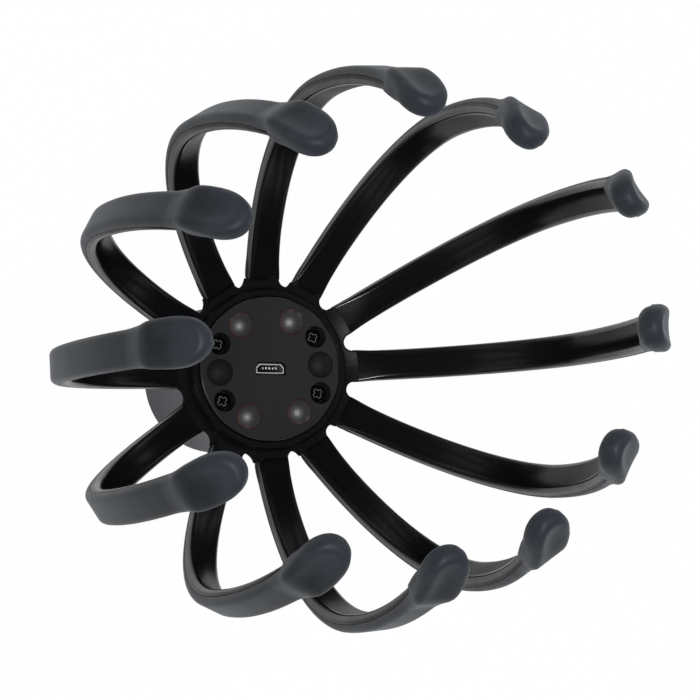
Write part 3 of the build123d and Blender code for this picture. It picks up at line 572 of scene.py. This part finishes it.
def rolled(name, rows, outline_at, looks, zone_at, slot_name, cad_node):
    """Closed piece with the outline that outline_at gives at each row.

    zone_at tells which of the looks a face gets, from its row and from its column, which
    is counted from the middle of the outline's first side, the same way on left and right.
    """
    outlines = [outline_at(row) for row in rows]
    columns = len(outlines[0])
    shape = bmesh.new()
    bmesh.ops.create_grid(shape, x_segments=len(rows) - 1, y_segments=columns, size=1)
    for face in shape.faces:
        middle = face.calc_center_median()
        row = int((middle.x + 1) / 2 * (len(rows) - 1))
        column = int((middle.y + 1) / 2 * columns)
        face.material_index = zone_at(rows[row], min(column, columns - 1 - column))
    seam = []
    for vert in shape.verts:
        row = round((vert.co.x + 1) / 2 * (len(rows) - 1))
        column = round((vert.co.y + 1) / 2 * columns)
        if column in (0, columns):
            seam.append(vert)
        vert.co = outlines[row][column % columns]
    bmesh.ops.remove_doubles(shape, verts=seam, dist=WELD)
    open_edges = [edge for edge in shape.edges if edge.is_boundary]
    bmesh.ops.holes_fill(shape, edges=open_edges, sides=0)
    bmesh.ops.recalc_face_normals(shape, faces=shape.faces)
    for face in shape.faces:
        face.smooth = True
    piece = finished(shape, name, looks[0], slot_name, "base", cad_node)
    for look in looks[1:]:
        piece.data.materials.append(look)
    return piece


print("claws to roll:", CLAWS, "- two halves each")

# %% [markdown]
# ## Outlines from a few curves
# The halves of a claw are symmetrical, so only half of each outline is written down, and
# the rest is its mirror image. A rounded corner is a few points on a quarter circle, and
# what changes along a claw does so with a smooth rise that has no kink at its ends.

# %% Outlines from a few curves
def eased(value, start, end):
    """0 before start, 1 after end, and a smooth rise between them."""
    share = min(max((value - start) / (end - start), 0.0), 1.0)
    return share * share * (3 - 2 * share)


def mirrored(half):
    """Whole outline from the half with a positive first value, whose ends lie on the middle."""
    return half + [(-across, inward) for across, inward in half[-2:0:-1]]


def corner(across, inward, radius, start, steps):
    """Points of a quarter round about a centre, from an angle in degrees and on to +90."""
    turns = [math.radians(start + 90 * k / steps) for k in range(steps + 1)]
    return [(across + radius * math.cos(a), inward + radius * math.sin(a)) for a in turns]


print("a corner of 3 steps has", len(corner(0, 0, 1, 0, 3)), "points")

# %% [markdown]
# ## Glossy cores
# The core is a strip with a flat back, where the soft skin is moulded on, and a flat
# inner face with rounded edges. Near the ring its edges are sharper. The tiny round at
# the parting line leaves a groove against the skin, as two moulded halves always do.
# The sides and the rounded edges are polished, and the flat inner face between them less.

# %% Glossy cores
HALF_WIDTH = 4.0
ROOT_FLARE = 0.25           # the root is wider by this, to flow into the ring
SKIN_THICK = 2.0
PARTING_ROUND = 0.14
CROWN = 0.22                # the inner face bulges by this
ROOT_EDGE, CLAW_EDGE = 0.45, 1.40   # radius of the inner edges at the root and beyond it
CORE_START = 4.75 - CLAW_END
CORE_STOP = -3.0
CORE_STEPS = 84


def past_root(ahead, length):
    """0 at the root and 1 once this length of the claw is past."""
    return eased(ahead, CORE_START, CORE_START + length)


def half_width(ahead):
    return HALF_WIDTH + ROOT_FLARE * (1 - past_root(ahead, 6))


def core_outline(number, ahead):
    half = along_claw(CLAW_SET[number][0], ahead)[3]
    parting = SKIN_THICK - half
    width = half_width(ahead)
    crown = CROWN * past_root(ahead, 12)
    edge = ROOT_EDGE + (CLAW_EDGE - ROOT_EDGE) * past_root(ahead, 14)
    side = [(0, parting), (2.0, parting)]
    side += corner(width - PARTING_ROUND, parting + PARTING_ROUND, PARTING_ROUND, -90, 3)
    side += corner(width - edge, half - edge, edge, 0, 7)
    side += [(1.5, half + crown * 0.65), (0, half + crown)]
    return [claw_place(number, ahead, across, inward) for across, inward in mirrored(side)]


def core_zone(ahead, column):
    """0 on the flat faces, 1 on the sides and 2 on the rounded edges."""
    return 2 if column in EDGE_COLUMNS else int(column == SIDE_COLUMN)


SIDE_COLUMN = 5             # counted from the middle of the back
EDGE_COLUMNS = range(6, 13)
CORE_ROWS = [CORE_START + (CORE_STOP - CORE_START) * k / CORE_STEPS
             for k in range(CORE_STEPS + 1)]
for number in range(CLAWS):
    rolled(f"glossy_core_{number + 1:02d}", CORE_ROWS, lambda row: core_outline(number, row),
           [GLOSSY, SIDE, EDGE], core_zone, "gloss_black", f"claw_core_{number + 1:02d}")
print("made", CLAWS, "glossy cores of", len(CORE_ROWS), "rows")

# %% [markdown]
# ## Soft skins with their paddles
# Along the claw the skin is a strip with a flat outer face. Near the end it widens into
# a spoon: a plate with a dished outer face and a rounded rim, and on its inner side a
# dome that wraps over the core. A fine step between plate and dome marks where the two
# halves of the mould met, and it carries the parting line round the paddle.

# %% The plate of a paddle
SPOON_START = -17.0         # the claw begins to widen this far from its end
SPOON_WIDEST = 0.5
SPOON_NOSE = 8.6
BLUNTNESS = 2.35            # 2 would make the nose half an ellipse
SPOON_HALF = 5.1
SPOON_BACK = 3.6            # distance of the outer face from the centre line
SWELLING = (-15.0, -4.0)    # the outer face moves out to it between these places
STEM_ROUND, PLATE_ROUND = 1.5, 2.0      # radius of the outer edges
ROUNDING = (-6.0, 4.0)
DISH = 1.0
DISH_HALF = 4.1
DISHING = (-8.0, 3.0)       # the dish deepens between these places
SHALLOWING = (3.5, 8.0)     # and loses half its depth between these


def spoon_nose(ahead, inset):
    """How far the nose has narrowed: 1 at the widest place and 0 at the tip."""
    share = min(max((ahead - SPOON_WIDEST) / (SPOON_NOSE - inset), 0.0), 1.0)
    return math.sqrt(1 - share ** BLUNTNESS)


def spoon_half(ahead):
    widening = eased(ahead, SPOON_START, SPOON_WIDEST)
    stem = half_width(ahead)
    return (stem + (SPOON_HALF - stem) * widening) * spoon_nose(ahead, 0)


def rim_distance(ahead, across):
    """Distance from a place on the spoon to its rim, seen from the back."""
    beyond = ahead - SPOON_WIDEST
    if beyond <= 0:
        return spoon_half(ahead) - across
    radius = math.hypot(beyond, across)
    share = ((beyond / SPOON_NOSE) ** BLUNTNESS + (across / SPOON_HALF) ** 2) ** (1 / BLUNTNESS)
    return radius * (1 - share) / share


def outer_face(ahead, across, half):
    """Height of the outer face, counted to the inner side."""
    back = half + (SPOON_BACK - half) * eased(ahead, *SWELLING)
    edge = STEM_ROUND + (PLATE_ROUND - STEM_ROUND) * eased(ahead, *ROUNDING)
    rim = max(edge - max(rim_distance(ahead, across), 0.0), 0.0)
    rounding = edge - math.sqrt(edge * edge - min(rim, edge) ** 2)
    hollow = DISH * eased(ahead, *DISHING) * (1 - 0.5 * eased(ahead, *SHALLOWING))
    bowl = max(1 - (across / DISH_HALF) ** 2, 0.0) ** 2
    return rounding + hollow * bowl - back


print("paddle in mm:", 2 * SPOON_HALF, "wide, end", SPOON_WIDEST + SPOON_NOSE, "past the claw's")

# %% [markdown]
# ## Soft skins with their domes
# The dome's section is a superellipse: a power near 5 makes it almost a box where it
# begins on the flat core, and a power near 2 makes it round further on. Where the dome
# begins, its lip rises within half a millimetre, and it bows a little along the claw.

# %% Soft skins with their domes
WRAP = -10.0                # the dome begins here, over the core
WRAP_LIP = 0.5
WRAP_BOW, BOW_LENGTH = 1.1, 3.0
WRAP_HALF = 3.95
DOME_FULL = -2.0            # and has its full height from here on
DOME_TOP = 3.35
DOME_SUNK = 0.05            # it begins this far inside the core
DOME_BOXY, DOME_ROUND = 5.0, 2.2
THINNEST = 0.02
ROOT_SHARE = 0.90           # the skin is narrower at the root, to fit into the ring
STEP_IN = 0.30
LIP_DROP, LIP_CUT = 0.16, 0.05          # the plate's upper edge, just below the parting line
RIM_SHARES = [1.0, 0.75, 0.55, 0.40, 0.28, 0.18, 0.10, 0.045, 0.012, 0.0]
DOME_TURNS = [math.radians(a) for a in (0.5, 4, 10, 18, 28, 39, 51, 63, 75, 84)]


def dome_side(ahead, half, width, step):
    """Points of the inner side, from the parting line towards the middle."""
    parting = SKIN_THICK - half
    if ahead < WRAP:
        return [((width - step) * math.cos(a), parting) for a in DOME_TURNS]
    lip = math.sqrt(max(1 - max((WRAP + WRAP_LIP - ahead) / WRAP_LIP, 0.0) ** 2, 0.0))
    top = half - DOME_SUNK + WRAP_LIP * lip
    top += (DOME_TOP - END_HALF - WRAP_LIP) * eased(ahead, WRAP, DOME_FULL)
    power = DOME_BOXY + (DOME_ROUND - DOME_BOXY) * eased(ahead, WRAP, SPOON_WIDEST)
    base = WRAP_HALF + (width - step - WRAP_HALF) * lip
    tall = top - parting
    if ahead > SPOON_WIDEST:
        base = (SPOON_HALF - step) * spoon_nose(ahead, step)
        tall *= spoon_nose(ahead, step)
    base = max(base, THINNEST)
    return [(base * math.cos(a) ** (2 / power), parting + tall * math.sin(a) ** (2 / power))
            for a in DOME_TURNS]


def skin_outline(number, ahead):
    half = along_claw(CLAW_SET[number][0], ahead)[3]
    parting = SKIN_THICK - half
    width = spoon_half(ahead) * (ROOT_SHARE + (1 - ROOT_SHARE) * past_root(ahead, 4))
    side = [(width * (1 - share), outer_face(ahead, width * (1 - share), half))
            for share in RIM_SHARES]
    step = PARTING_ROUND + (STEP_IN - PARTING_ROUND) * eased(ahead, WRAP, SPOON_WIDEST)
    step = min(step, 0.8 * width)
    side += [(width, parting - LIP_DROP),
             (width - LIP_CUT * min(width, 1), parting - LIP_CUT), (width - step, parting)]
    side += dome_side(ahead, half, width, step)
    side.append((0, side[-1][1]))
    bow = WRAP_BOW * math.exp(-((ahead - WRAP) / BOW_LENGTH) ** 2)
    return [claw_place(number, ahead + bow * (across / HALF_WIDTH) ** 2, across, inward)
            for across, inward in mirrored(side)]


def skin_zone(ahead, column):
    """1 on the thin lip where the skin ends on the core, 0 elsewhere."""
    on_dome = column >= len(RIM_SHARES) + 2
    return int(on_dome and WRAP - 0.01 < ahead < WRAP + WRAP_LIP)


print("points on half a skin's outline:", len(RIM_SHARES) + 3 + len(DOME_TURNS) + 1)

# %% [markdown]
# ## Rows along a skin
# Rows cost triangles, so they lie close together only where the shape changes fast: at
# the lip of the dome, and on the nose, where they follow equal angles of a quarter turn.

# %% Rows along a skin
STEM_STOP, STEM_STEPS = -16.0, 72
SKIN_ROWS = [CORE_START + (STEM_STOP - CORE_START) * k / STEM_STEPS
             for k in range(STEM_STEPS + 1)]
SKIN_ROWS += [-15.5 + 0.5 * k for k in range(11)] + [-10.2, -10.05, -10.001]
SKIN_ROWS += [WRAP + WRAP_LIP * (1 - math.cos(math.radians(a))) for a in (0, 20, 40, 58, 74, 90)]
SKIN_ROWS += [-9.1 + 0.5 * k for k in range(19)]
SKIN_ROWS += [SPOON_WIDEST + SPOON_NOSE * math.sin(math.radians(4 * k)) for k in range(22)]
for number in range(CLAWS):
    rolled(f"soft_skin_{number + 1:02d}", SKIN_ROWS, lambda row: skin_outline(number, row),
           [SOFT, SIDE], skin_zone, "soft_grey", f"claw_skin_{number + 1:02d}")
print("made", CLAWS, "soft skins of", len(SKIN_ROWS), "rows")

# %% [markdown]
# ## Screws with cross recesses
# The four screws sit deep in dark wells, and all that shows is a bright edge round each
# recess, where the head is given a paler steel. A plus made from a small grid gets rounded
# corners, a narrow inset becomes that paler edge, and the middle is pushed down. The space
# out to the round rim is then filled with triangles, and the rim is drawn down to the shank.

# %% Screws with cross recesses
WELL_RING = 15.1
WELL_TURNS = [31.7, 152.7, 211.7, 332.7]
HEAD_RADIUS = 2.1
HEAD_TOP, HEAD_BASE = 53.4, 50.2
SHANK_RADIUS, SHANK_END = 1.0, 40.4
CROSS_LONG, CROSS_WIDE = 1.32, 0.52
RECESS_EDGE_WIDTH = 0.12
RECESS_DEPTH = 1.2
SCREW_ROUND = 0.30


def rounded(shape, parts, radius, segments, affect="EDGES"):
    bmesh.ops.bevel(shape, geom=parts, offset=radius, offset_type="OFFSET", segments=segments,
                    profile=0.5, affect=affect, material=-1)


def sunk(shape, verts, depth):
    bmesh.ops.translate(shape, verts=verts, vec=(0, 0, -depth))


def cross_face(shape):
    """Plus-shaped face with rounded corners."""
    bmesh.ops.create_grid(shape, x_segments=3, y_segments=3, size=1)
    for vert in shape.verts:
        for axis in (0, 1):
            reach = CROSS_LONG if abs(vert.co[axis]) > 0.5 else CROSS_WIDE
            vert.co[axis] = math.copysign(reach, vert.co[axis])
    middles = [(face, face.calc_center_median()) for face in shape.faces]
    outer = [face for face, middle in middles if min(abs(middle.x), abs(middle.y)) > CROSS_WIDE]
    bmesh.ops.delete(shape, geom=outer, context="FACES")
    bmesh.ops.dissolve_faces(shape, faces=shape.faces)
    rounded(shape, shape.verts[:], SCREW_ROUND, 3, "VERTICES")
    return shape.faces[:][0]


shape = bmesh.new()
print("corners of the rounded cross:", len(cross_face(shape).verts))
shape.free()

# %% [markdown]
# ## From the cross to a screw
# The cross is inset and pushed down, the face out to the rim is filled in, and the rim is
# then drawn down to the shank in three steps. The top edge is rounded last of all.

# %% From the cross to a screw
def screw_shape():
    shape = bmesh.new()
    cross = cross_face(shape)
    pale_edge = bmesh.ops.inset_region(shape, faces=[cross], thickness=RECESS_EDGE_WIDTH,
                                  use_boundary=True)["faces"]
    outline = [edge for edge in shape.edges if edge.is_boundary]
    pushed = bmesh.ops.extrude_face_region(shape, geom=[cross])["geom"]
    bmesh.ops.delete(shape, geom=[cross], context="FACES_ONLY")
    sunk(shape, [part for part in pushed if isinstance(part, bmesh.types.BMVert)], RECESS_DEPTH)
    circle = bmesh.ops.create_circle(shape, segments=48, radius=HEAD_RADIUS)["verts"]
    round_edges = list({edge for vert in circle for edge in vert.link_edges})
    bmesh.ops.triangle_fill(shape, use_beauty=True, edges=outline + round_edges, normal=(0, 0, 1))
    for radius, depth in ((HEAD_RADIUS, HEAD_TOP - HEAD_BASE), (SHANK_RADIUS, 0),
                          (SHANK_RADIUS, HEAD_BASE - SHANK_END)):
        drawn = bmesh.ops.extrude_edge_only(shape, edges=round_edges)["geom"]
        round_edges = [part for part in drawn if isinstance(part, bmesh.types.BMEdge)]
        verts = list({vert for edge in round_edges for vert in edge.verts})
        for vert in verts:
            vert.co.xy = vert.co.xy.normalized() * radius
        sunk(shape, verts, depth)
    bmesh.ops.holes_fill(shape, edges=round_edges, sides=0)
    top_edge = [edge for vert in circle for edge in vert.link_edges
                if edge.other_vert(vert) in circle]
    rounded(shape, list(set(top_edge)), SCREW_ROUND, 3)
    bmesh.ops.recalc_face_normals(shape, faces=shape.faces)
    for face in shape.faces:
        # Faces of the narrow inset round the cross take the paler steel.
        face.material_index = 1 if face in pale_edge else 0
    return shape


shape = screw_shape()
print("one screw has", len(shape.faces), "faces")

# %% [markdown]
# ## Four screws in their wells
# The screw is copied into each well and turned, because no two screws stop at the same
# turn. The copies stay in one mesh, which stands for the one CAD piece that holds all four.

# %% Four screws in their wells
FIRST_TURN = 0.4            # radians, and each screw stopped at a turn of its own
single = shape.verts[:] + shape.edges[:] + shape.faces[:]
for turn in WELL_TURNS:
    azimuth = math.radians(turn)
    stopped = Matrix.Rotation(3 * azimuth + FIRST_TURN, 3, "Z")
    copied = bmesh.ops.duplicate(shape, geom=single)["geom"]
    verts = [part for part in copied if isinstance(part, bmesh.types.BMVert)]
    bmesh.ops.rotate(shape, verts=verts, matrix=stopped)
    bmesh.ops.translate(shape, verts=verts, vec=(WELL_RING * math.cos(azimuth),
                                                 WELL_RING * math.sin(azimuth), HEAD_TOP))
bmesh.ops.delete(shape, geom=single, context="VERTS")
bmesh.ops.scale(shape, verts=shape.verts, vec=(MM, MM, MM))
screws = finished(shape, "cross_head_screws", BLACKED, "screw_steel", "base", "cover_screws")
screws.data.materials.append(SCREW)
print("made", len(WELL_TURNS), "screws of", len(screws.data.polygons), "faces")

# %% [markdown]
# ## Contacts in the port
# Five thin plated strips lie on the port's tongue. They are what the eye looks for in a
# socket, and their ends catch the light. Each is a small box let into the tongue's face.

# %% Contacts in the port
PORT_TURN = -3.0
CONTACT_PITCH = 0.9
CONTACT_SIZE = (0.42, 0.62, 3.0)
CONTACT_FRONT = 0.12
CONTACT_TOP = 54.95
shape = bmesh.new()
for step in (-2, -1, 0, 1, 2):
    box = bmesh.ops.create_cube(shape, size=1)["verts"]
    bmesh.ops.scale(shape, verts=box, vec=CONTACT_SIZE)
    bmesh.ops.translate(shape, verts=box, vec=(step * CONTACT_PITCH, CONTACT_FRONT,
                                               CONTACT_TOP - CONTACT_SIZE[2] / 2))
rounded(shape, shape.edges[:], 0.08, 2)
turned = Matrix.Rotation(math.radians(PORT_TURN), 3, "Z")
bmesh.ops.rotate(shape, verts=shape.verts, matrix=turned)
bmesh.ops.scale(shape, verts=shape.verts, vec=(MM, MM, MM))
contacts = finished(shape, "port_contacts", PLATED, "port_steel", "base")
print("made", contacts.name, "with", len(contacts.data.polygons), "faces")

# %% [markdown]
# ## Floor
# The massager stands on a pale floor. For the camera and in every reflection the floor
# glows white, and a small share of its own lit surface is left to show, so it still takes
# a soft shadow. Matt surfaces get no light from the glow: only those rays see it.

# %% Floor
FLOOR_GLOW = 0.985
FLOOR_HALF = 12.0
FLOOR_DROP = 0.05 * MM      # keeps the floor out of the grip's end


def floor_finish():
    made = finish("pale floor")
    paper = made.grain(40 * MM)
    made.surface(Base_Color=made.blend(paper, (0.60, 0.60, 0.60), (0.64, 0.64, 0.64)),
                 Roughness=0.8, Specular_IOR_Level=0.1)
    rays = made.node("ShaderNodeLightPath")
    seen = rays.beside("Is Camera Ray") + rays.beside("Is Glossy Ray")
    seen = (seen + rays.beside("Is Transmission Ray")).at_most(1)
    lit = Wire(made, made.tree.nodes["Principled BSDF"].outputs[0])
    glow = made.node("ShaderNodeEmission", None, {"Color": (1.0, 1.0, 1.0)})
    mixed = made.node("ShaderNodeMixShader", None, {0: seen * FLOOR_GLOW, 1: lit, 2: glow})
    made.plug(made.tree.nodes["Material Output"].inputs[0], mixed)
    return made.owner


shape = bmesh.new()
bmesh.ops.create_grid(shape, x_segments=2, y_segments=2, size=FLOOR_HALF)
bmesh.ops.translate(shape, verts=shape.verts, vec=(0, 0, -FLOOR_DROP))
floor = placed("floor", bpy.data.meshes.new("floor"))
shape.to_mesh(floor.data)
shape.free()
floor.data.materials.append(floor_finish())
print("floor", 2 * FLOOR_HALF, "m wide")

# %% [markdown]
# ## Sky
# The sky is pale near the horizon and dim overhead, as in a studio with a dark ceiling.
# The dim part keeps the glossy plastic black, and the pale part shows along the sides of
# the claws. A ramp over how far up a direction points is all that this takes.

# %% Sky
sky = bpy.data.worlds.new("studio sky")
bpy.context.scene.world = sky
made = Finish(sky)
way = made.node("ShaderNodeTexCoord")
upward = made.node("ShaderNodeSeparateXYZ", None, {0: way}, out=2)
shade = made.node("ShaderNodeValToRGB", {"stops": [
    (0.0, (0.86, 0.86, 0.86)), (0.02, (0.80, 0.80, 0.80)), (0.14, (0.30, 0.30, 0.305)),
    (0.40, (0.11, 0.11, 0.115)), (1.0, (0.085, 0.085, 0.09))]}, {0: upward})
made.plug(made.tree.nodes["Background"].inputs["Color"], shade)
print("sky from the horizon up")

# %% [markdown]
# ## Lamps
# Two round lamps do the rest. The key lamp hangs almost overhead, a little to the left,
# and its soft image is what shines on the claws and the lenses. The fill lamp lifts the
# other side. It is left out of the reflections, so that the gloss shows one lamp only.

# %% Lamps
HUB = Vector((0, 0, 56 * MM))
KEY_AWAY = Vector((-0.35, -0.14, 0.93)).normalized() * 1.1
FILL_AWAY = Vector((0.64, 0.45, 0.78))


def soft_lamp(name, away, size, watts):
    """Round lamp that is aimed at the hub from a place away from it."""
    light = bpy.data.lights.new(name, "AREA")
    light.shape = "DISK"
    light.size = size
    light.energy = watts
    lamp = placed(name, light)
    lamp.location = HUB + away
    lamp.rotation_euler = (-away).to_track_quat("-Z", "Y").to_euler()
    return lamp


key = soft_lamp("key lamp", KEY_AWAY, 0.34, 9.8)
fill = soft_lamp("fill lamp", FILL_AWAY, 0.6, 5.5)
fill.visible_glossy = False
print("lamps at", [[round(v, 2) for v in lamp.location] for lamp in (key, fill)], "m")

# %% [markdown]
# ## Camera
# The camera looks down into the ring of claws from half a metre away, a little from the
# left, with a long lens that hardly distorts. Its place and its three axes are written
# out, because a tracking constraint would leave the roll to chance.

# %% Camera
EYE = Vector((-139.19, -23.63, 505.45)) * MM
LOOK = Vector((0.33554, 0.0557, -0.94038)).normalized()
UPWARD = Vector((0.03162, 0.99702, 0.07034))
SENSOR, FOCAL = 36.0, 92.38
SHIFT = (0.0054, 0.0066)
lens = bpy.data.cameras.new("camera")
lens.sensor_width, lens.lens = SENSOR, FOCAL
lens.shift_x, lens.shift_y = SHIFT
lens.clip_start, lens.clip_end = 0.01, 100
camera = placed("camera", lens)
side = LOOK.cross(UPWARD).normalized()
turn = Matrix((side, side.cross(LOOK), -LOOK)).transposed()
camera.matrix_world = Matrix.Translation(EYE) @ turn.to_4x4()
bpy.context.scene.camera = camera
bpy.context.scene.view_settings.view_transform = "Standard"
print("camera at", [round(v, 3) for v in camera.location])

# %% [markdown]
